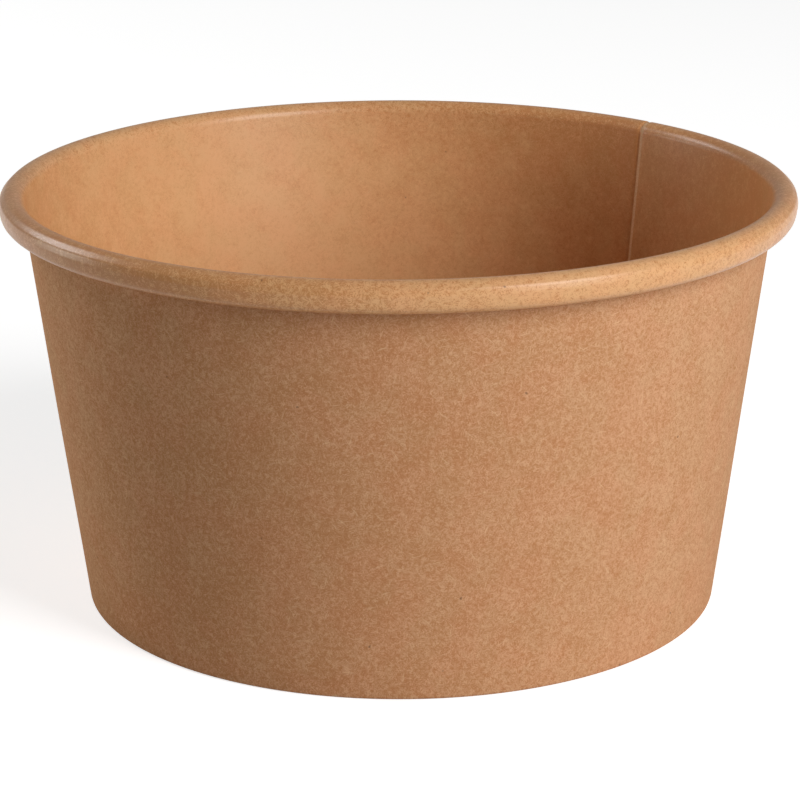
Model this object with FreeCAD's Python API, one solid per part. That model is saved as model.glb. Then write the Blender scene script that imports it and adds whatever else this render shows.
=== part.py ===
"""A round paper tub for ice cream, made of two pieces of brown kraft board.

The sidewall is one fan-shaped sheet, wrapped into a cone and sealed to itself along an overlapping
side seam. Its top edge is curled outwards into a hollow rolled rim. Its bottom edge is turned
inwards and up, and holds the skirt of the second piece, the bottom disc, in the fold.

Millimetres. +Z is up, and the origin is the centre of the foot, on the surface the tub stands on.
"""

import FreeCAD
import Part

import math
import os

# Overall form
HEIGHT = 51.5  # foot to the top of the rolled rim
RIM_RADIUS = 48.0  # outermost line of the rolled rim
BASE_RADIUS = 39.0  # outer face of the wall where it meets the table

# Sidewall sheet
BOARD = 0.40  # thickness of the wall board
SEAM_ANGLE = 45.0  # direction of the seam's inner cut edge, in degrees from +X
SEAM_OVERLAP = 7.5  # width of the double layer, measured just under the rim
SEAM_RAMP = 1.2  # length over which a layer steps aside for the other

# Rolled rim
CURL_CORE = 0.30  # smallest radius inside the curl, where the seam doubles the board
CURL_SIDE = 0.82  # flat stretch down the outer side of the curl
CURL_TAIL = 0.80  # stretch of board tucked up inside the curl
CURL_GAP = 0.10  # between the tucked board and the wall

# Bottom disc and the fold that holds it
BOTTOM_BOARD = 0.35  # thickness of the bottom disc's board
FLOOR_HEIGHT = 6.0  # top face of the floor above the table
FLOOR_BEND = 0.6  # inner radius where the floor turns down into its skirt
SEAL_GAP = 0.02  # film of coating each side of the skirt
SKIRT_GAP = 0.10  # between the skirt's cut edge and the fold
HEM_GAP = 0.40  # between the hem's cut edge and the floor's bend
FOLD_RADIUS = 0.05  # inner radius of the pressed fold

# Worked out from the sizes above
FULL_TURN = 360.0
DOUBLE = 2 * BOARD
BEAD_WIDTH = 2 * (CURL_CORE + DOUBLE) + DOUBLE + CURL_GAP
CURL_RADIUS = BEAD_WIDTH / 2
POCKET = BOTTOM_BOARD + 2 * SEAL_GAP
HEM_TOP = FLOOR_HEIGHT - BOTTOM_BOARD - FLOOR_BEND - HEM_GAP
SKIRT_BOTTOM = DOUBLE + SKIRT_GAP


def point(r, z):
    """A point of the section, which lies in the XZ plane."""
    return FreeCAD.Vector(r, 0, z)


# The wall leans outwards so that its outer face runs from the foot to just inside the curl.
foot_edge = point(BASE_RADIUS, 0)
curl_centre = point(RIM_RADIUS - CURL_RADIUS, HEIGHT - CURL_RADIUS)
foot_to_curl = curl_centre - foot_edge
lean = math.atan2(foot_to_curl.x, foot_to_curl.z) - math.asin((CURL_RADIUS - BOARD) / foot_to_curl.Length)
up_wall = point(math.sin(lean), math.cos(lean))
out_of_wall = point(math.cos(lean), -math.sin(lean))


def tuck_radius(stack):
    """Radius of the coated face under the curl, where the wall beside it is stack thick."""
    return (BEAD_WIDTH - stack - CURL_GAP) / 2


def tuck_depth(radius):
    """How far the tuck's centre lies below the curl's, before any flat side is added."""
    return (CURL_RADIUS - radius) * math.sin(lean) + radius


BEAD_BOTTOM = curl_centre.z - tuck_depth(tuck_radius(BOARD)) - CURL_SIDE * math.cos(lean)
SEAM_RADIUS = BASE_RADIUS + BEAD_BOTTOM * math.tan(lean)
overlap_angle = math.degrees(SEAM_OVERLAP / SEAM_RADIUS)
ramp_angle = math.degrees(SEAM_RAMP / SEAM_RADIUS)


def at_height(start, direction, z):
    """The point at height z on the line through start."""
    return start + direction * ((z - start.z) / direction.z)


def line(a, b):
    return Part.LineSegment(a, b).toShape()


def arc(centre, radius, first, middle, last):
    """An arc about centre, through three directions from it."""
    return Part.Arc(*(centre + d * radius for d in (first, middle, last))).toShape()


def rounded_corner(before, corner, after, radius):
    """The two tangent points and the arc that round off a corner of the section."""
    back = (before - corner).normalize()
    ahead = (after - corner).normalize()
    half = back.getAngle(ahead) / 2
    reach = radius / math.tan(half)
    middle_way = (back + ahead).normalize()
    centre = corner + middle_way * (radius / math.sin(half))
    first = corner + back * reach
    last = corner + ahead * reach
    return first, Part.Arc(first, centre - middle_way * radius, last).toShape(), last


def sheet_line(depth, stack):
    """The sheet's section at a depth below its coated face, from the hem to the end of the curl.

    stack is the thickness of all layers at that place, which the fold and the curl make room for.
    """
    wall_foot = foot_edge + out_of_wall * (depth - BOARD)
    hem_foot = foot_edge - out_of_wall * (BOARD + POCKET + depth)
    fold_height = stack - depth
    wall_corner = at_height(wall_foot, up_wall, fold_height)
    hem_corner = at_height(hem_foot, up_wall, fold_height)
    hem_end = at_height(foot_edge - out_of_wall * (BOARD + POCKET), up_wall, HEM_TOP) - out_of_wall * depth
    fold_radius = FOLD_RADIUS + depth
    hem_first, hem_arc, hem_last = rounded_corner(hem_end, hem_corner, wall_corner, fold_radius)

    curl = CURL_RADIUS - depth
    wall_top = curl_centre - out_of_wall * curl
    wall_first, wall_arc, wall_last = rounded_corner(hem_corner, wall_corner, wall_top, fold_radius)

    tuck_coated = tuck_radius(stack)
    side = (curl_centre.z - tuck_depth(tuck_coated) - BEAD_BOTTOM) / math.cos(lean)
    tuck_centre = curl_centre + out_of_wall * (CURL_RADIUS - tuck_coated) - up_wall * side
    tuck = tuck_coated - depth
    tail_start = tuck_centre - out_of_wall * tuck

    return [
        line(hem_end, hem_first),
        hem_arc,
        line(hem_last, wall_first),
        wall_arc,
        line(wall_last, wall_top),
        arc(curl_centre, curl, -out_of_wall, up_wall, out_of_wall),
        line(curl_centre + out_of_wall * curl, tuck_centre + out_of_wall * tuck),
        arc(tuck_centre, tuck, out_of_wall, -up_wall, -out_of_wall),
        line(tail_start, tail_start + up_wall * CURL_TAIL),
    ]


def sheet_section(coated, uncoated, stack, angle):
    """The closed outline of a sheet between two depths, turned to an angle round the axis."""
    inner = sheet_line(coated, stack)
    outer = sheet_line(uncoated, stack)
    hem_cut = line(outer[0].Vertexes[0].Point, inner[0].Vertexes[0].Point)
    curl_cut = line(inner[-1].Vertexes[-1].Point, outer[-1].Vertexes[-1].Point)
    outline = Part.Wire(inner + [curl_cut] + outer[::-1] + [hem_cut])
    outline.rotate(FreeCAD.Vector(0, 0, 0), FreeCAD.Vector(0, 0, 1), angle)
    return outline


def swept_round(outline, angle):
    """The solid that a section sweeps, turning about the tub's axis."""
    return Part.Face(outline).revolve(FreeCAD.Vector(0, 0, 0), FreeCAD.Vector(0, 0, 1), angle)


def stepped_aside(first, last):
    """The short solid in which a layer moves from one section to the next."""
    return Part.makeLoft([first, last], True, True)


def make_sidewall():
    """The wrapped sheet, with its rolled rim, folded foot and overlapping seam."""
    inner_edge = SEAM_ANGLE
    outer_edge = SEAM_ANGLE - overlap_angle
    single_from = inner_edge + ramp_angle
    single_turn = FULL_TURN - overlap_angle - 2 * ramp_angle

    single = swept_round(sheet_section(0, BOARD, BOARD, single_from), single_turn)
    double = swept_round(sheet_section(0, DOUBLE, DOUBLE, outer_edge), overlap_angle)
    onto_the_seam = stepped_aside(
        sheet_section(BOARD, DOUBLE, DOUBLE, inner_edge),
        sheet_section(0, BOARD, BOARD, single_from),
    )
    out_of_the_seam = stepped_aside(
        sheet_section(0, BOARD, DOUBLE, outer_edge),
        sheet_section(0, BOARD, BOARD, outer_edge - ramp_angle),
    )
    return single.multiFuse([onto_the_seam, double, out_of_the_seam])


def make_bottom_disc():
    """The flat floor, with its edge turned down into a skirt that lies along the wall."""
    skirt_outside = foot_edge - out_of_wall * (BOARD + SEAL_GAP)
    skirt_inside = skirt_outside - out_of_wall * BOTTOM_BOARD
    under = FLOOR_HEIGHT - BOTTOM_BOARD
    skirt_end = at_height(skirt_outside, up_wall, SKIRT_BOTTOM)
    skirt_end_inside = skirt_end - out_of_wall * BOTTOM_BOARD

    top_centre = point(0, FLOOR_HEIGHT)
    under_centre = point(0, under)
    top_first, top_arc, top_last = rounded_corner(
        top_centre,
        at_height(skirt_outside, up_wall, FLOOR_HEIGHT),
        skirt_end,
        FLOOR_BEND + BOTTOM_BOARD,
    )
    under_first, under_arc, under_last = rounded_corner(
        under_centre,
        at_height(skirt_inside, up_wall, under),
        skirt_end_inside,
        FLOOR_BEND,
    )
    outline = Part.Wire([
        line(top_centre, top_first),
        top_arc,
        line(top_last, skirt_end),
        line(skirt_end, skirt_end_inside),
        line(skirt_end_inside, under_last),
        under_arc,
        line(under_first, under_centre),
        line(under_centre, top_centre),
    ])
    return swept_round(outline, FULL_TURN)


def save(name, shape):
    """Writes one node and prints what it is, so that a wrong solid shows at once."""
    box = shape.BoundBox
    print(
        f"{name}: {len(shape.Solids)} solid, valid {shape.isValid()}, volume {shape.Volume:.1f} mm3, "
        f"{box.XLength:.2f} x {box.YLength:.2f} x {box.ZLength:.2f} mm"
    )
    shape.exportStep(os.path.join("parts", name + ".step"))


os.makedirs("parts", exist_ok=True)
print(f"lean {math.degrees(lean):.2f} degrees, bead {BEAD_WIDTH:.2f} wide, {HEIGHT - BEAD_BOTTOM:.2f} tall")
print(f"seam {overlap_angle:.2f} degrees wide, wall radius under the rim {SEAM_RADIUS:.2f}")
save("sidewall", make_sidewall())
save("bottom_disc", make_bottom_disc())
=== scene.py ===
# %% [markdown]
# # A paper ice cream tub
#
# The tub is two pieces of brown kraft board: a sidewall wrapped from one flat sheet, and a round
# bottom disc held in the sidewall's folded foot. This lesson builds both as real sheets of board,
# with a coated face, a bare face and cut edges, so that the rolled rim, the lapped side seam and the
# fold under the floor are all made the way a cup machine makes them.

# %% Load the frame
import math

import bpy
import numpy as np
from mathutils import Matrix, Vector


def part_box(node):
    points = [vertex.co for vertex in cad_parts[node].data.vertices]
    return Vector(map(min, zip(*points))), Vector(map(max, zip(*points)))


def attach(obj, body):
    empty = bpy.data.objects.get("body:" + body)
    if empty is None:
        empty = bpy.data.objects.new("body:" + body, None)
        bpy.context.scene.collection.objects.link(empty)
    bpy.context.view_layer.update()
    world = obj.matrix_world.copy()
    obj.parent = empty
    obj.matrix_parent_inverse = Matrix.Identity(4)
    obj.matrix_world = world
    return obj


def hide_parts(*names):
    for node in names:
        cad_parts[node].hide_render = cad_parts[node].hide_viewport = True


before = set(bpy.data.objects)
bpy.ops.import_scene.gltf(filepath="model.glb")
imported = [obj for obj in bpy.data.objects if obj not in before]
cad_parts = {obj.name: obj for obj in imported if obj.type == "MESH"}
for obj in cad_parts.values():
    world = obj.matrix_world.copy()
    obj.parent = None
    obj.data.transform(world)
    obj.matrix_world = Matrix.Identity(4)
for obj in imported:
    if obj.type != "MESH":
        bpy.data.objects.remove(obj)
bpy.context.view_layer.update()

print("frame loaded:", sorted(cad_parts))

# %% [markdown]
# ## Sizes
#
# The rim, the height and the floor come from the frame, so the sheets fit the solids that they stand
# for. The board's thickness and the sizes of the curl and the fold belong to the board, so they are
# written here once, in metres.

# %% Driving sizes
MM = 0.001
wall_low, wall_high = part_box("sidewall")
floor_low, floor_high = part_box("bottom_disc")

RIM_RADIUS = (wall_high.x - wall_low.x) / 2
HEIGHT = wall_high.z
FOOT_RADIUS = 39.0 * MM  # outer face of the wall at the table
BOARD = 0.40 * MM  # thickness of the wall board
SEAL_FILM = 0.01 * MM  # melted coating between the two layers of the seam

SEAM_AT = math.radians(45.0)  # where the seam's inner cut edge stands, from +X
SEAM_LAP = 7.5 * MM  # width of the double layer under the rim
SEAM_RAMP = 1.2 * MM  # length over which the inner layer comes out from under the lap
SEAM_DROP = 0.5 * MM  # length over which the outer layer drops behind the inner cut edge
SEAM_SLANT = 0.5 * MM  # how far the sealing jaw has crushed the inner cut edge out of square
SEAM_SQUEEZE = 0.62  # thickness of each layer under the jaw, as a share of the board's
SEAM_CRUSH = 0.30  # the same at the inner cut edge, where the jaw presses hardest

CURL_CORE = 0.30 * MM  # smallest radius inside the curl
CURL_SIDE = 0.82 * MM  # flat stretch down the outer side of the curl
CURL_TAIL = 0.80 * MM  # stretch of board tucked up inside the curl
CURL_GAP = 0.10 * MM  # between the tucked board and the wall
RIDGE = 0.024 * MM  # how far the curl stands out of round at its ridge
RIDGE_AT = math.radians(36.0)  # the ridge's place on the curl, above its outermost line
RIDGE_WAVES = 10  # waves of the curl's unevenness in a full turn about its centre
RIDGE_FADE = 8  # power of the cosine that fades those waves out away from the ridge

FLOOR_HEIGHT = floor_high.z
BOTTOM_BOARD = 0.35 * MM  # thickness of the bottom disc's board
FLOOR_BEND = 0.6 * MM  # inner radius where the floor turns down into its skirt
SKIRT_END = floor_low.z  # lower edge of the skirt
SEAL_GAP = 0.02 * MM  # film of coating each side of the skirt
HEM_GAP = 0.40 * MM  # between the hem's cut edge and the floor's bend
FOLD_RADIUS = 0.05 * MM  # inner radius of the pressed fold

BEAD_WIDTH = 2 * (CURL_CORE + 2 * BOARD) + 2 * BOARD + CURL_GAP
CURL_RADIUS = BEAD_WIDTH / 2
HEM_TOP = FLOOR_HEIGHT - BOTTOM_BOARD - FLOOR_BEND - HEM_GAP
HEM_INSET = BOARD + BOTTOM_BOARD + 2 * SEAL_GAP
print(f"rim radius {RIM_RADIUS / MM:.2f} mm, height {HEIGHT / MM:.2f} mm, bead {BEAD_WIDTH / MM:.2f} mm wide")

# %% [markdown]
# ## The section as complex numbers
#
# A round piece is drawn once, as a section in the plane of radius and height. Writing a point of that
# plane as one complex number, radius + height * 1j, makes lines and arcs short to write: a direction
# is a number of length one, and multiplying by exp(1j * angle) turns it.

# %% Directions along and across the wall
curl_centre = (RIM_RADIUS - CURL_RADIUS) + (HEIGHT - CURL_RADIUS) * 1j
foot_to_curl = curl_centre - FOOT_RADIUS
lean = math.pi / 2 - np.angle(foot_to_curl) - math.asin((CURL_RADIUS - BOARD) / abs(foot_to_curl))
OUT = np.exp(-1j * lean)
UP = 1j * OUT
print(f"the wall leans out by {math.degrees(lean):.2f} degrees")


def at_height(start, z):
    """The point at height z on the line through start that runs up the wall."""
    return start + UP * ((z - start.imag) / UP.imag)


def run(start, end, t):
    """Straight stretch: start plus the share t of the way to end."""
    return start + (end - start) * t


def turn(centre, radius, first, last, t):
    """Arc: centre plus radius times a direction that swings from angle first to angle last, from OUT."""
    return centre + radius * OUT * np.exp(1j * (first + (last - first) * t))


def rounded(corner, back, ahead, radius, t):
    """Rounded corner: an arc that touches the lines back and ahead of the corner.

    Its centre lies on the middle line between them, at radius / sin(half the angle), and it swings
    from the touching point behind the corner to the one ahead of it.
    """
    half = abs(np.angle(ahead / back)) / 2
    middle = (back + ahead) / abs(back + ahead)
    first = back / math.tan(half) - middle / math.sin(half)
    last = ahead / math.tan(half) - middle / math.sin(half)
    swing = np.angle(last / first)
    return corner + middle * radius / math.sin(half) + radius * first * np.exp(1j * swing * t)


# %% [markdown]
# ## The sidewall's section
#
# From its hem to its curl the sheet runs up inside the fold, round under the foot, up the wall, over
# the rim, down its outer side and back in against the wall. The same formula gives any layer: depth is
# how far the layer lies below the coated face, and stack is the thickness of all layers there, for
# which the fold and the curl make room. The curling tool doesn't leave a true circle: a slanted flat
# meets the outer side at a soft ridge, and that flat is where the rim catches the light.

# %% The sidewall's section
HEM_STEPS, FOLD_STEPS, FOOT_STEPS, WALL_STEPS = 4, 5, 2, 16
CURL_STEPS, SIDE_STEPS, TUCK_STEPS, TAIL_STEPS = 44, 3, 12, 3
WALL_FROM = HEM_STEPS + 2 * FOLD_STEPS + FOOT_STEPS  # number of the wall's first point along the sheet
CURL_FROM = WALL_FROM + WALL_STEPS  # number of the curl's first point


def steps(count):
    """Even shares from 0 up to, but not including, 1."""
    return np.linspace(0, 1, count, endpoint=False)


def tuck_radius(stack):
    """Radius of the coated face under the curl, where the wall beside it is stack thick."""
    return (BEAD_WIDTH - stack - CURL_GAP) / 2


def tuck_depth(radius):
    """How far the tuck's centre lies below the curl's, before any flat side is added."""
    return (CURL_RADIUS - radius) * math.sin(lean) + radius


BEAD_BOTTOM = curl_centre.imag - tuck_depth(tuck_radius(BOARD)) - CURL_SIDE * math.cos(lean)


def past_ridge():
    """For each point along the sheet, the angle on the curl from its ridge; flat stretches count too."""
    curl = math.pi * (1 - steps(CURL_STEPS)) - RIDGE_AT
    side = -RIDGE_AT - steps(SIDE_STEPS) * CURL_SIDE / CURL_RADIUS
    tuck = -RIDGE_AT - (CURL_SIDE + steps(TUCK_STEPS) * math.pi * tuck_radius(BOARD)) / CURL_RADIUS
    return np.concatenate([np.full(CURL_FROM, math.pi), curl, side, tuck, np.full(TAIL_STEPS, -math.pi)])


beyond = np.clip(past_ridge(), -math.pi / 2, math.pi / 2)
out_of_round = RIDGE * np.cos(RIDGE_WAVES * beyond) * np.cos(beyond) ** RIDGE_FADE


def sheet_section(depth, stack):
    """Points along one layer, as columns; depth and stack have one row for each place round the tub.

    Last, each point moves out of round, at right angles to the sheet: a cosine of a few times the
    angle from the ridge, faded out on both sides by a high power of the angle's own cosine.
    """
    wall_corner = at_height(FOOT_RADIUS + OUT * (depth - BOARD), stack - depth)
    hem_corner = at_height(FOOT_RADIUS - OUT * (HEM_INSET + depth), stack - depth)
    hem_end = at_height(FOOT_RADIUS - OUT * HEM_INSET, HEM_TOP) - OUT * depth
    fold = FOLD_RADIUS + depth
    hem_start = rounded(hem_corner, UP, 1, fold, 0)
    wall_start = rounded(wall_corner, -1, UP, fold, 1)
    wall_top = curl_centre - OUT * (CURL_RADIUS - depth)

    tuck = tuck_radius(stack)
    side = (curl_centre.imag - tuck_depth(tuck) - BEAD_BOTTOM) / math.cos(lean)
    tuck_centre = curl_centre + OUT * (CURL_RADIUS - tuck) - UP * side
    tail_start = tuck_centre - OUT * (tuck - depth)
    true = np.concatenate([
        run(hem_end, hem_start, steps(HEM_STEPS)),
        rounded(hem_corner, UP, 1, fold, steps(FOLD_STEPS)),
        run(rounded(hem_corner, UP, 1, fold, 1), rounded(wall_corner, -1, UP, fold, 0), steps(FOOT_STEPS)),
        rounded(wall_corner, -1, UP, fold, steps(FOLD_STEPS)),
        run(wall_start, wall_top, steps(WALL_STEPS)),
        turn(curl_centre, CURL_RADIUS - depth, math.pi, 0, steps(CURL_STEPS)),
        run(curl_centre + OUT * (CURL_RADIUS - depth), tuck_centre + OUT * (tuck - depth), steps(SIDE_STEPS)),
        turn(tuck_centre, tuck - depth, 0, -math.pi, steps(TUCK_STEPS)),
        run(tail_start, tail_start + UP * CURL_TAIL, np.linspace(0, 1, TAIL_STEPS)),
    ], axis=1)
    along = np.gradient(true, axis=1)
    return true + 1j * along / abs(along) * out_of_round


one_section = sheet_section(np.zeros((1, 1)), np.full((1, 1), BOARD))[0]
along_sheet = np.concatenate([[0], np.cumsum(abs(np.diff(one_section)))])
print(f"{one_section.size} points along the sheet, which is {along_sheet[-1] / MM:.1f} mm from hem to curl")

# %% [markdown]
# ## The wrap and its seam
#
# The sheet starts at its inner cut edge, goes once round, steps outwards by its own thickness and
# ends on top of its own start. So the seam isn't a line drawn on a round wall: it is what happens when
# one spiral sheet laps over itself, and its two cut edges are real steps. The jaw that seals the lap
# squeezes both layers and crushes the inner edge to a thin slope, so the step there is far less than
# the board's thickness, and a thin pale line of raw board shows beside a shallow dark groove.

# %% The wrap round the tub
SEAM_RADIUS = FOOT_RADIUS + BEAD_BOTTOM * math.tan(lean)
lap = SEAM_LAP / SEAM_RADIUS
ramp = SEAM_RAMP / SEAM_RADIUS
drop = SEAM_DROP / SEAM_RADIUS
slant = SEAM_SLANT / SEAM_RADIUS
FULL = 2 * math.pi
LAP_COLUMNS, RAMP_COLUMNS, ROUND_COLUMNS = 10, 7, 400


def eased(t):
    """Smooth step from 0 to 1: three t squared minus two t cubed, held level outside."""
    t = np.clip(t, 0, 1)
    return t * t * (3 - 2 * t)


wrapped = np.concatenate([
    run(0, lap, steps(LAP_COLUMNS)),
    run(lap, lap + ramp, steps(RAMP_COLUMNS)),
    run(lap + ramp, FULL - drop, steps(ROUND_COLUMNS)),
    run(FULL - drop, FULL, steps(RAMP_COLUMNS)),
    run(FULL, FULL + lap, np.linspace(0, 1, LAP_COLUMNS)),
])[:, None]
past_edge = np.where(wrapped > math.pi, wrapped - FULL, wrapped)
stepped_out = eased((wrapped - (FULL - drop)) / drop)
lapped = np.where(past_edge < 0, stepped_out, 1 - eased((past_edge - lap) / ramp))
pressed = run(SEAM_CRUSH, SEAM_SQUEEZE, eased(past_edge / slant))
thickness = BOARD * run(1, pressed, lapped)
layer_depth = (thickness + SEAL_FILM) * stepped_out
layer_stack = thickness + (thickness + SEAL_FILM) * lapped

# At the crushed edge the coated face starts a slant's length further round than the bare face.
coated_wrapped = np.where(wrapped < lap, run(slant, lap, wrapped / lap), wrapped)
print(f"the sheet goes {math.degrees(FULL + lap):.1f} degrees round, in {wrapped.size} columns")

# %% [markdown]
# ## Slightly out of true
#
# No wrapped sheet is a perfect cone. The rim springs a little oval, the wall stands a hair off
# upright, and the board has shallow swells. One function of place bends both pieces alike, so the
# floor stays seated in its fold.

# %% Out of true
RIM_OVAL = 0.10 * MM  # gain of the rim's radius at the ends of its oval
RIM_LOBES = 0.05 * MM  # gain at each of three lobes
WALL_SWELL = 0.035 * MM  # how far the stronger swell stands out, half way up the wall
TOP_SHIFT = -0.14 * MM  # sideways place of the rim
FOOT_SHIFT = 0.10 * MM  # sideways place of the foot
RIM_WAVE = 0.06 * MM  # rise and fall of the rim
CURL_SHORT = 0.33 * MM  # how much shorter the curl is at two sides, where the tool pressed less
CURL_SHORT_AT = math.radians(20)  # direction of one of those sides, from +X; the other is opposite


def out_of_true(x, y, z):
    """Moves points by a sum of a few slow waves in the angle round the axis and the height.

    The radius gains an oval (cosine of twice the angle) and a three-lobed wave, both growing with
    height, and shallow swells; the height gains a slow wave at the rim; x slides with height. Round
    the curl's lower edge, points rise by the fourth power of the cosine from the place where the curl
    is shortest.
    """
    angle = np.arctan2(y, x)
    radius = np.hypot(x, y)
    rise = z / HEIGHT
    swell = np.cos(5 * angle + 4.0 * rise) + np.cos(8 * angle - 7.0 * rise + 1.3) * 0.6
    grown = (
        RIM_OVAL * rise * np.cos(2 * angle - 0.7)
        + RIM_LOBES * rise * np.cos(3 * angle + 1.1)
        + WALL_SWELL * swell * np.sin(math.pi * np.clip(rise, 0, 1))
    )
    share = np.clip(radius / FOOT_RADIUS, 0, 1) ** 4
    radius = radius + grown * share
    near_curl_foot = eased(1 - abs(z - BEAD_BOTTOM) / (0.6 * CURL_RADIUS + CURL_SIDE))
    shorter = CURL_SHORT * np.cos(angle - CURL_SHORT_AT) ** 4 * near_curl_foot
    lifted = z + RIM_WAVE * rise ** 4 * np.cos(2 * angle + 2.2) + shorter
    shift = run(FOOT_SHIFT, TOP_SHIFT, rise)
    return radius * np.cos(angle) + shift, radius * np.sin(angle), lifted


rim_circle = RIM_RADIUS * np.exp(1j * np.linspace(0, FULL, ROUND_COLUMNS))
sprung_rim = out_of_true(rim_circle.real, rim_circle.imag, np.full(ROUND_COLUMNS, HEIGHT))
print("the sprung rim spans", np.round(np.ptp(sprung_rim, axis=1) / MM, 2), "mm in X, Y and Z")

# %% [markdown]
# ## Board as a closed mesh
#
# Both pieces are the same kind of thing: a grid of points on the coated face, a matching grid on the
# bare face, and four strips of cut edge that close the solid. One function makes the mesh from the two
# grids. It also stores where each point lay on the flat board, in millimetres, so that the paper's
# fibres follow the sheet round every bend, and how sharply the board is bent there.

# %% A mesh of board
COATED, BARE, CUT = 0, 1, 2
FACES_APART = 12.0  # how far apart the two faces lie in the paper pattern, in its millimetres
SMOOTH_UP_TO = math.radians(40)


def board_mesh(name, coated, bare, flat, bent):
    """Mesh object from two grids of points, shape (columns, rows, 3), each point's place on the flat
    board, and how sharply the board is bent there, from 0 to 1.
    """
    columns, rows = coated.shape[:2]
    upper = np.arange(columns * rows).reshape(columns, rows)
    lower = upper + columns * rows

    def quads(a, b, c, d):
        return np.stack([a, b, c, d], axis=-1).reshape(-1, 4)

    faces = [
        quads(upper[:-1, :-1], upper[1:, :-1], upper[1:, 1:], upper[:-1, 1:]),
        quads(lower[:-1, :-1], lower[:-1, 1:], lower[1:, 1:], lower[1:, :-1]),
        quads(upper[1:, 0], upper[:-1, 0], lower[:-1, 0], lower[1:, 0]),
        quads(upper[:-1, -1], upper[1:, -1], lower[1:, -1], lower[:-1, -1]),
        quads(upper[0, :-1], upper[0, 1:], lower[0, 1:], lower[0, :-1]),
        quads(upper[-1, 1:], upper[-1, :-1], lower[-1, :-1], lower[-1, 1:]),
    ]
    kinds = [COATED, BARE, CUT, CUT, CUT, CUT]
    corners = np.concatenate(faces)
    slots = np.repeat(kinds, [len(part) for part in faces])
    points = np.concatenate([coated.reshape(-1, 3), bare.reshape(-1, 3)])

    mesh = bpy.data.meshes.new(name)
    mesh.vertices.add(len(points))
    mesh.vertices.foreach_set("co", points.ravel())
    mesh.loops.add(corners.size)
    mesh.loops.foreach_set("vertex_index", corners.ravel())
    mesh.polygons.add(len(corners))
    mesh.polygons.foreach_set("loop_start", np.arange(0, corners.size, 4))
    mesh.polygons.foreach_set("material_index", slots)
    mesh.update(calc_edges=True)
    mesh.validate()

    depth = np.repeat([0, FACES_APART], columns * rows)[:, None]
    place = np.concatenate([np.tile(flat.reshape(-1, 2) / MM, (2, 1)), depth], axis=1)
    attribute = mesh.attributes.new("board_place", "FLOAT_VECTOR", "POINT")
    attribute.data.foreach_set("vector", place.ravel())
    attribute = mesh.attributes.new("bent", "FLOAT", "POINT")
    attribute.data.foreach_set("value", np.tile(bent.reshape(-1), 2))
    mesh.set_sharp_from_angle(angle=SMOOTH_UP_TO)

    piece = bpy.data.objects.new(name, mesh)
    bpy.context.scene.collection.objects.link(piece)
    print(f"{name}: {len(points)} points, {2 * len(corners)} triangles")
    return piece


def spun(section, angle):
    """Grid of points: each section point's radius swung to its angle, at its height, out of true."""
    x, y, z = out_of_true(section.real * np.cos(angle), section.real * np.sin(angle), section.imag)
    return np.stack([x, y, z], axis=-1)


# %% [markdown]
# ## The sidewall
#
# Flat, the sheet is a piece of a ring: the cone unrolled about its tip. A point keeps its distance from
# the tip, and its angle shrinks by the sine of the wall's lean.

# %% Make the sidewall
STRETCHED_BEFORE = 0.3 * MM  # how far below the curl the board starts to be stretched
STRETCHED_OVER = 0.9 * MM  # length over which it comes to its full stretch

round_angle = SEAM_AT - wrapped
coated_angle = SEAM_AT - coated_wrapped
coated_section = sheet_section(layer_depth, layer_stack)
bare_section = sheet_section(layer_depth + thickness, layer_stack)

from_tip = FOOT_RADIUS / math.sin(lean) + along_sheet - along_sheet[WALL_FROM]
bent = eased((along_sheet - along_sheet[CURL_FROM] + STRETCHED_BEFORE) / STRETCHED_OVER)
flat_sheet = from_tip[None, :] * np.exp(1j * wrapped * math.sin(lean))
sidewall = board_mesh(
    "board_sidewall",
    spun(coated_section, coated_angle),
    spun(bare_section, round_angle),
    np.stack([flat_sheet.real, flat_sheet.imag], axis=-1),
    np.broadcast_to(bent, wrapped.shape[:1] + bent.shape),
)
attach(sidewall, "root")
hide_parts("sidewall")

# %% [markdown]
# ## The bottom disc
#
# A round blank has no natural corner to start a grid from, and rings that shrink to one point make
# thin slivers there. So a square grid is pulled round instead: each square ring of the grid becomes a
# circle, which keeps the middle of the floor as even as its edge.

# %% Make the bottom disc
DISC_CELLS = 120
FLAT_SHARE, BEND_SHARE = 0.72, 0.12  # of the grid's rings, the rest being the skirt
FLOOR_SAG = 0.12 * MM  # how far the middle of the floor hangs down
BLANK_REACH = 1.15  # where the skirt's end lies in the paper pattern, as a share of the foot's radius
EIGHTH = math.pi / 4  # of a turn

edge_to_edge = np.linspace(-1, 1, DISC_CELLS + 1)
a, b = np.meshgrid(edge_to_edge, edge_to_edge, indexing="ij")
ring = np.maximum(abs(a), abs(b))
safe = np.where(ring > 0, ring, 1)
disc_angle = np.where(
    abs(a) >= abs(b),
    EIGHTH * b / np.where(a == 0, safe, a) + np.where(a < 0, math.pi, 0),
    2 * EIGHTH - EIGHTH * a / np.where(b == 0, safe, b) + np.where(b < 0, math.pi, 0),
)
stretch = np.interp(ring, [0, FLAT_SHARE, FLAT_SHARE + BEND_SHARE, 1], [0, 1, 2, 3])


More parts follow.
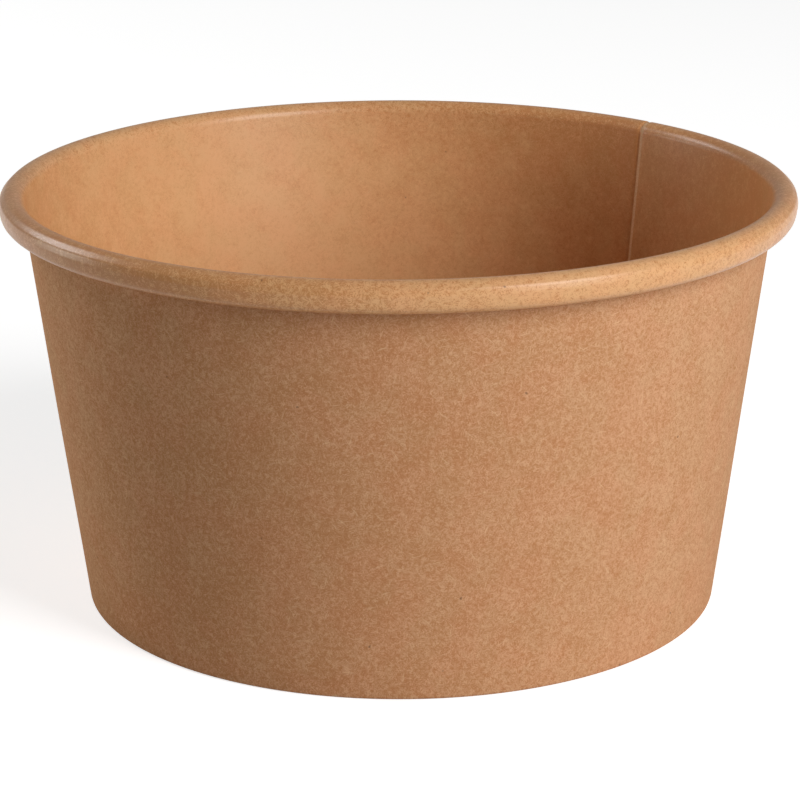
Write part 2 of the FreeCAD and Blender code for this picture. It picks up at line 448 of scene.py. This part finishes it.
def floor_section(depth):
    """The disc's section at a depth below its top face.

    Stretch 0 to 1 crosses the flat floor, 1 to 2 goes round the bend and 2 to 3 runs down the skirt.
    """
    skirt_line = FOOT_RADIUS - OUT * (BOARD + SEAL_GAP + depth)
    corner = at_height(skirt_line, FLOOR_HEIGHT - depth)
    radius = FLOOR_BEND + BOTTOM_BOARD - depth
    bend = rounded(corner, -1, -UP, radius, np.clip(stretch - 1, 0, 1))
    rim = rounded(corner, -1, -UP, radius, 0)
    skirt_top = rounded(corner, -1, -UP, radius, 1)
    skirt_foot = at_height(FOOT_RADIUS - OUT * (BOARD + SEAL_GAP), SKIRT_END) - OUT * depth
    sag = FLOOR_SAG * (1 - eased(stretch)) * 1j
    flat = rim.real * np.clip(stretch, 0, 1) + rim.imag * 1j - sag
    skirt = run(skirt_top, skirt_foot, np.clip(stretch - 2, 0, 1))
    return np.select([stretch <= 1, stretch <= 2], [flat, bend], skirt)


blank_radius = np.interp(stretch, [0, 1, 3], [0, 1, BLANK_REACH]) * FOOT_RADIUS
blank = blank_radius * np.exp(1j * disc_angle)
bottom_disc = board_mesh(
    "board_bottom_disc",
    spun(floor_section(0.0), disc_angle),
    spun(floor_section(BOTTOM_BOARD), disc_angle),
    np.stack([blank.real, blank.imag], axis=-1),
    eased(1 - abs(stretch - 1.5)),
)
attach(bottom_disc, "root")
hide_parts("bottom_disc")

# %% [markdown]
# ## Materials: kraft paper from its fibres
#
# Brown kraft is a felt of wood fibres. Close up it shows a cloudy mottle a few millimetres wide, a fine
# felt of light and dark strokes, now and then one pale hair, and here and there a speck of bark. Each
# of these is made by a small function. The finishes add them up to one number, the tone, which says
# how pale or deep the paper is at that place. All of them read the flat board's millimetres, so one
# unit of scale is one millimetre of paper.

# %% Small helpers for nodes


def node(tree, kind, inputs, **settings):
    """A new shader node with its settings; an input is a plain value or another node's output."""
    made = tree.nodes.new("ShaderNode" + kind)
    for name, value in settings.items():
        setattr(made, name, value)
    for name, value in inputs.items():
        if isinstance(value, bpy.types.NodeSocket):
            tree.links.new(value, made.inputs[name])
        else:
            made.inputs[name].default_value = value
    return made


def calculated(tree, operation, *numbers):
    """One sum, product or other operation on numbers."""
    return node(tree, "Math", dict(enumerate(numbers)), operation=operation).outputs[0]


def added(tree, total, value, middle, share):
    """The total plus share times the value's distance from its middle."""
    return calculated(tree, "ADD", total, calculated(tree, "MULTIPLY_ADD", value, share, -middle * share))


def eased_between(tree, value, low, high, to_low=0.0, to_high=1.0):
    """A number carried from the range low to high onto to_low to to_high, eased at both ends."""
    inputs = {"Value": value, "From Min": low, "From Max": high, "To Min": to_low, "To Max": to_high}
    return node(tree, "MapRange", inputs, interpolation_type="SMOOTHSTEP").outputs["Result"]


def clouds(tree, place, per_mm, detail, roughness=0.5):
    """Soft noise around a half, with so many clouds to the millimetre."""
    inputs = {"Vector": place, "Scale": per_mm, "Detail": detail, "Roughness": roughness}
    return node(tree, "TexNoise", inputs, noise_dimensions="3D").outputs["Fac"]


def blended(tree, share, first, second, how="MIX"):
    """Two colours blended by share, which is a number or an output.

    The Mix node has its sockets once for each type: 6 and 7 take the two colours, and 2 gives one.
    """
    made = node(tree, "Mix", {0: share}, data_type="RGBA", blend_type=how)
    for socket, value in ((made.inputs[6], first), (made.inputs[7], second)):
        if isinstance(value, bpy.types.NodeSocket):
            tree.links.new(value, socket)
        else:
            socket.default_value = (*value, 1.0)
    return made.outputs[2]


# %% [markdown]
# ## Fibres, bark, slow bands and a painted sheen
#
# A picture of paper would bring along the light it was taken in, and would show its joins on a wrapped
# sheet. So the fibres are drawn: a Voronoi pattern scatters cells over the board, and a cell that is
# stretched before it is drawn becomes a stroke. The same pattern, with only the middle of a few cells
# kept, gives the flecks of bark. Board also changes slowly in tone across its width, over many
# centimetres, and a cosine wave draws that. On the coated face its palest band is put where the key
# light's sheen falls on the inside left wall, so there it is a painted sheen.

# %% Strokes, bands and specks
BANDS_APART = 120.0  # millimetres from the middle of one pale band to the next


def strokes(tree, place, length, width, share, layers, first_angle):
    """Fibres lying every way: each layer turns the board, then stretches it so that round cells become
    long thin ones. A stroke is drawn near the middle of a cell, in the given share of the cells, with
    a brightness of its own. The layers are added up.
    """
    total = 0.0
    for layer in range(layers):
        angle = first_angle + math.pi * layer / layers
        aimed = node(
            tree, "Mapping",
            {"Vector": place, "Location": (layer * 7.3, layer * 3.1, 0), "Rotation": (0, 0, angle),
             "Scale": (length, width, 1)},
            vector_type="TEXTURE",
        ).outputs[0]
        cells = node(tree, "TexVoronoi", {"Vector": aimed, "Scale": 1.0}, voronoi_dimensions="2D")
        body = eased_between(tree, cells.outputs["Distance"], 0.12, 0.46, 1.0, 0.0)
        luck = node(tree, "SeparateColor", {"Color": cells.outputs["Color"]}).outputs["Red"]
        shown = eased_between(tree, luck, 1 - share, 1.0)
        total = calculated(tree, "ADD", calculated(tree, "MULTIPLY", body, shown), total)
    return total


# Painted sheen: on the coated face the palest band lies where the key light's sheen falls on the inside left
# wall.
def bands_and_sheen(tree, place, pale_at):
    """Slow bands across the sheet: a cosine wave that is palest at pale_at and every BANDS_APART on."""
    across = node(tree, "SeparateXYZ", {"Vector": place}).outputs["Y"]
    per_mm = 2 * math.pi / BANDS_APART
    return calculated(tree, "COSINE", calculated(tree, "MULTIPLY_ADD", across, per_mm, -pale_at * per_mm))


def wandering(tree, place, reach, per_mm):
    """The same places pushed about by slow noise, which bends straight fibres into curved ones."""
    push = node(tree, "TexNoise", {"Vector": place, "Scale": per_mm, "Detail": 1.0}).outputs["Color"]
    centred = node(tree, "VectorMath", {0: push, 1: (0.5, 0.5, 0.5)}, operation="SUBTRACT").outputs[0]
    scaled = node(tree, "VectorMath", {0: centred, "Scale": reach}, operation="SCALE").outputs[0]
    return node(tree, "VectorMath", {0: place, 1: scaled}, operation="ADD").outputs[0]


def specks(tree, place, apart, size):
    """Rare dark flecks: the middle of some cells, each with a size of its own and a ragged outline."""
    ragged = wandering(tree, place, reach=0.35, per_mm=3.0)
    scaled = node(tree, "VectorMath", {0: ragged, "Scale": 1 / apart}, operation="SCALE").outputs[0]
    cells = node(tree, "TexVoronoi", {"Vector": scaled, "Scale": 1.0}, voronoi_dimensions="2D")
    luck = node(tree, "SeparateColor", {"Color": cells.outputs["Color"]}).outputs["Green"]
    reach = eased_between(tree, luck, 0.55, 1.0, -0.02, size / apart)
    inside = calculated(tree, "SUBTRACT", cells.outputs["Distance"], reach)
    return eased_between(tree, inside, -0.012, 0.006, 1.0, 0.0)


# %% [markdown]
# ## Three finishes
#
# Outside, the board is bare and matt. Inside and over the rolled rim it carries a thin clear coating,
# which deepens the brown and gives a soft sheen. Where the board is bent hard, over the rim, the
# stretched coating shines a little more and lets the fibres stand out. The cut edges show the paler,
# open middle of the board. Each face could have a material of its own, but one function with named
# numbers keeps the two faces the same paper.
#
# Paper doesn't only get darker where it is deep in tone, it gets more orange: red falls least and blue
# falls most. So the pale and the deep colour are worked out from the middle one, with one step for
# each channel.

# %% Kraft colours
BARE_KRAFT = (0.590, 0.306, 0.158)  # red, green and blue of the middle tone, as shares of the light
COATED_KRAFT = (0.662, 0.332, 0.144)
TONE_STEP = (0.14, 0.25, 0.37)  # how much of red, green and blue a full step of tone adds or takes
HAIR_PALE = (0.800, 0.550, 0.330)
BARK = (0.150, 0.075, 0.040)
BARK_SHARE = 0.65  # how much of the paper's colour a fleck of bark covers
EDGE_DEEP = (0.720, 0.430, 0.230)
EDGE_PALE = (0.800, 0.540, 0.330)
PINKISH = (1.010, 0.990, 0.985)  # the paper's hue wanders between these two faint casts
OLIVE = (0.990, 1.010, 1.000)


def toned(colour, tone):
    """A colour moved by a tone from -1 to 1: each channel grows by the tone times its own step."""
    return tuple(channel * (1 + tone * step) for channel, step in zip(colour, TONE_STEP))


print("bare kraft, pale:", [round(channel, 3) for channel in toned(BARE_KRAFT, 1)])

# %% Kraft finishes


def kraft_finish(
    name, colour, grain_share, felt_share, mottle_share, band_and_sheen_share, hair_share,
    pale_at, bent_share, relief, flat_rough, bent_rough, specular,
):
    """A kraft material: grain, felt, mottle and bands add up to a tone; hairs and specks go over it.

    The fine tones grow by bent_share where the board is bent. The roughness goes from flat_rough to
    bent_rough there, and stays a plain number where the two are the same.
    """
    material = bpy.data.materials.new(name)
    material.use_nodes = True
    tree = material.node_tree
    tree.nodes.clear()
    place = node(tree, "Attribute", {}, attribute_name="board_place").outputs["Vector"]
    bent = node(tree, "Attribute", {}, attribute_name="bent").outputs["Fac"]
    curved = wandering(tree, place, reach=0.9, per_mm=0.45)

    grain = clouds(tree, place, per_mm=3.6, detail=2.0, roughness=0.6)
    pale_felt = strokes(tree, curved, length=1.2, width=0.15, share=0.6, layers=6, first_angle=0.2)
    deep_felt = strokes(tree, curved, length=0.9, width=0.16, share=0.8, layers=5, first_angle=0.5)
    felt = calculated(tree, "SUBTRACT", pale_felt, deep_felt)
    fine = added(tree, added(tree, 0.0, grain, 0.5, grain_share), felt, 0.0, felt_share)
    stretched = calculated(tree, "MULTIPLY", fine, calculated(tree, "MULTIPLY_ADD", bent, bent_share, 1.0))
    mottle = clouds(tree, place, per_mm=0.30, detail=5.0, roughness=0.68)
    slow = added(tree, 0.5, mottle, 0.5, mottle_share)
    # The slow bands add a painted sheen on the coated face, palest at its pale_at.
    slow = added(tree, slow, bands_and_sheen(tree, place, pale_at), 0.0, band_and_sheen_share)
    tone = calculated(tree, "ADD", slow, stretched)

    paper = blended(tree, tone, toned(colour, -1), toned(colour, 1))
    hue = eased_between(tree, clouds(tree, place, per_mm=0.20, detail=2.0), 0.38, 0.62)
    paper = blended(tree, 1.0, paper, blended(tree, hue, PINKISH, OLIVE), "MULTIPLY")
    hairs = strokes(tree, curved, length=2.2, width=0.16, share=0.022, layers=3, first_angle=0.0)
    paper = blended(tree, calculated(tree, "MULTIPLY", hairs, hair_share), paper, HAIR_PALE)
    flecks = specks(tree, place, apart=8.0, size=0.15)
    paper = blended(tree, calculated(tree, "MULTIPLY", flecks, BARK_SHARE), paper, BARK)

    height = added(tree, added(tree, 0.0, grain, 0.5, 1.0), pale_felt, 0.0, 0.25)
    bump = node(tree, "Bump", {"Height": height, "Strength": 1.0, "Distance": relief})
    rough = flat_rough
    if bent_rough != flat_rough:
        rough = eased_between(tree, bent, 0.0, 1.0, flat_rough, bent_rough)
    shader = node(
        tree, "BsdfPrincipled",
        {"Base Color": paper, "Normal": bump.outputs[0], "Roughness": rough, "Specular IOR Level": specular},
    )
    node(tree, "OutputMaterial", {"Surface": shader.outputs[0]})
    return material


bare_kraft = kraft_finish(
    "bare_kraft", BARE_KRAFT,
    grain_share=1.15, felt_share=0.40, mottle_share=0.96, band_and_sheen_share=0.14, hair_share=0.46,
    pale_at=170.0, bent_share=0.0, relief=0.008 * MM, flat_rough=0.85, bent_rough=0.85, specular=0.05,
)
# The coated face's palest band, at pale_at, is a painted sheen on the inside left wall.
coated_kraft = kraft_finish(
    "coated_kraft", COATED_KRAFT,
    grain_share=0.40, felt_share=0.19, mottle_share=1.12, band_and_sheen_share=0.42, hair_share=0.18,
    pale_at=204.0, bent_share=1.9, relief=0.003 * MM, flat_rough=0.40, bent_rough=0.31, specular=0.30,
)
print("finishes:", bare_kraft.name, coated_kraft.name)

# %% The cut edge


def cut_edge_finish():
    """Cut board: the open middle of the paper, pale, with a coarse tear in its grain and no coating."""
    material = bpy.data.materials.new("cut_edge")
    material.use_nodes = True
    tree = material.node_tree
    tree.nodes.clear()
    place = node(tree, "TexCoord", {}).outputs["Object"]
    torn = clouds(tree, place, per_mm=5.0 / MM, detail=2.0, roughness=0.6)  # this place is in metres
    colour = blended(tree, eased_between(tree, torn, 0.3, 0.7), EDGE_DEEP, EDGE_PALE)
    bump = node(tree, "Bump", {"Height": torn, "Strength": 1.0, "Distance": 0.02 * MM})
    shader = node(
        tree, "BsdfPrincipled",
        {"Base Color": colour, "Normal": bump.outputs[0], "Roughness": 0.9, "Specular IOR Level": 0.2},
    )
    node(tree, "OutputMaterial", {"Surface": shader.outputs[0]})
    return material


cut_edge = cut_edge_finish()
for piece in (sidewall, bottom_disc):
    for material in (coated_kraft, bare_kraft, cut_edge):
        piece.data.materials.append(material)
    print(f"{piece.name} wears:", [material.name for material in piece.data.materials])

# %% [markdown]
# ## The studio
#
# The tub stands on a plain white floor. Seen by the camera, or in a reflection, the floor glows just
# enough to read as white and still darkens where the tub keeps the light off. The lamps are large and
# soft: a key from the front right, high enough to reach over the rim onto the inside left, a weaker one
# behind the left side, which draws the bright line along the rolled rim, and a low one that lifts the
# left side of the wall. The light between them is weak, so the inside right is lit almost only by what
# the inside left throws across.

# %% Floor and world


def seen_directly(tree):
    """1 for rays from the camera, a gloss or a clear material, and 0 for the light between surfaces."""
    path = node(tree, "LightPath", {})
    shown = calculated(tree, "MAXIMUM", path.outputs["Is Camera Ray"], path.outputs["Is Glossy Ray"])
    return calculated(tree, "MAXIMUM", shown, path.outputs["Is Transmission Ray"])


FLOOR_SIZE = 6.0  # metres along each side
FLOOR_COLOUR = (0.70, 0.70, 0.70, 1.0)
FLOOR_GLOW = 0.68  # strength where the floor is seen
WORLD_LIGHT = 0.03  # strength of the light that the world sheds on the tub
WORLD_SEEN = 0.35  # strength where the world itself is seen

floor_mesh = bpy.data.meshes.new("studio_floor")
half = FLOOR_SIZE / 2
floor_corners = [(-half, -half, 0), (half, -half, 0), (half, half, 0), (-half, half, 0)]
floor_mesh.from_pydata(floor_corners, [], [(0, 1, 2, 3)])
studio_floor = bpy.data.objects.new("studio_floor", floor_mesh)
bpy.context.scene.collection.objects.link(studio_floor)

floor_material = bpy.data.materials.new("studio_white")
floor_material.use_nodes = True
tree = floor_material.node_tree
tree.nodes.clear()
matt = node(tree, "BsdfDiffuse", {"Color": FLOOR_COLOUR})
glow = node(tree, "Emission", {"Strength": calculated(tree, "MULTIPLY", seen_directly(tree), FLOOR_GLOW)})
both = node(tree, "AddShader", {0: matt.outputs[0], 1: glow.outputs[0]})
node(tree, "OutputMaterial", {"Surface": both.outputs[0]})
floor_mesh.materials.append(floor_material)

world = bpy.data.worlds.new("studio")
world.use_nodes = True
tree = world.node_tree
tree.nodes.clear()
brightness = eased_between(tree, seen_directly(tree), 0.0, 1.0, WORLD_LIGHT, WORLD_SEEN)
background = node(tree, "Background", {"Color": (1.0, 1.0, 1.0, 1.0), "Strength": brightness})
node(tree, "OutputWorld", {"Surface": background.outputs[0]})
bpy.context.scene.world = world
print("floor and world ready")

# %% Lamps
LAMP_DISTANCE = 0.9  # metres from the middle of the tub
WHITE = (1.0, 1.0, 1.0)
WARM = (1.0, 1.0, 0.92)


def softbox(name, azimuth, elevation, width, height, watts, colour):
    """A flat lamp on a sphere about the tub, facing it, with width and height in metres.

    Azimuth 0 is the camera's side and 90 its right.
    """
    lamp = bpy.data.lights.new(name, "AREA")
    lamp.shape = "RECTANGLE"
    lamp.size = width
    lamp.size_y = height
    lamp.energy = watts
    lamp.color = colour
    holder = bpy.data.objects.new(name, lamp)
    across, up = math.radians(azimuth), math.radians(elevation)
    away = np.array([math.sin(across) * math.cos(up), -math.cos(across) * math.cos(up), math.sin(up)])
    holder.location = away * LAMP_DISTANCE + np.array([0, 0, HEIGHT / 2])
    holder.rotation_euler = (math.pi / 2 - up, 0, across)
    bpy.context.scene.collection.objects.link(holder)
    return holder


key = softbox("key", azimuth=47, elevation=28, width=0.40, height=0.64, watts=7.6, colour=WHITE)
rim = softbox("rim", azimuth=-122, elevation=31, width=0.32, height=0.26, watts=2.1, colour=WHITE)
low_left = softbox("side", azimuth=-103, elevation=6, width=0.30, height=0.30, watts=1.75, colour=WARM)
print("lamps:", key.name, rim.name, low_left.name)

# %% [markdown]
# ## The camera
#
# A long lens from a little above the rim keeps the tub's round edges as calm ovals. The distance and
# the pitch follow from how the far side of the rim's oval differs from its near side.

# %% Camera
CAMERA_DISTANCE = 0.3677  # metres from the point it looks at
CAMERA_PITCH = math.radians(17.57)  # how far it looks down
CAMERA_ROLL = math.radians(-0.15)  # how far its picture is turned
CAMERA_LENS = 133.5  # millimetres
CAMERA_SENSOR = 36.0  # millimetres
AIM_HEIGHT = 0.0235  # metres above the floor, on the tub's axis

camera_data = bpy.data.cameras.new("camera")
camera_data.lens = CAMERA_LENS
camera_data.sensor_width = CAMERA_SENSOR
camera_data.sensor_fit = "HORIZONTAL"
camera = bpy.data.objects.new("camera", camera_data)
camera.location = (
    0.0,
    -CAMERA_DISTANCE * math.cos(CAMERA_PITCH),
    AIM_HEIGHT + CAMERA_DISTANCE * math.sin(CAMERA_PITCH),
)
camera.rotation_mode = "ZXY"
camera.rotation_euler = (math.pi / 2 - CAMERA_PITCH, 0, CAMERA_ROLL)
bpy.context.scene.collection.objects.link(camera)
bpy.context.scene.camera = camera
print(f"camera {CAMERA_DISTANCE / MM:.0f} mm away, looking down by {math.degrees(CAMERA_PITCH):.1f} degrees")

# %% [markdown]
# ## Colour
#
# The Standard view shows each colour as it was worked out, where a film-like one would grey the pale
# floor.

bpy.context.scene.view_settings.view_transform = "Standard"
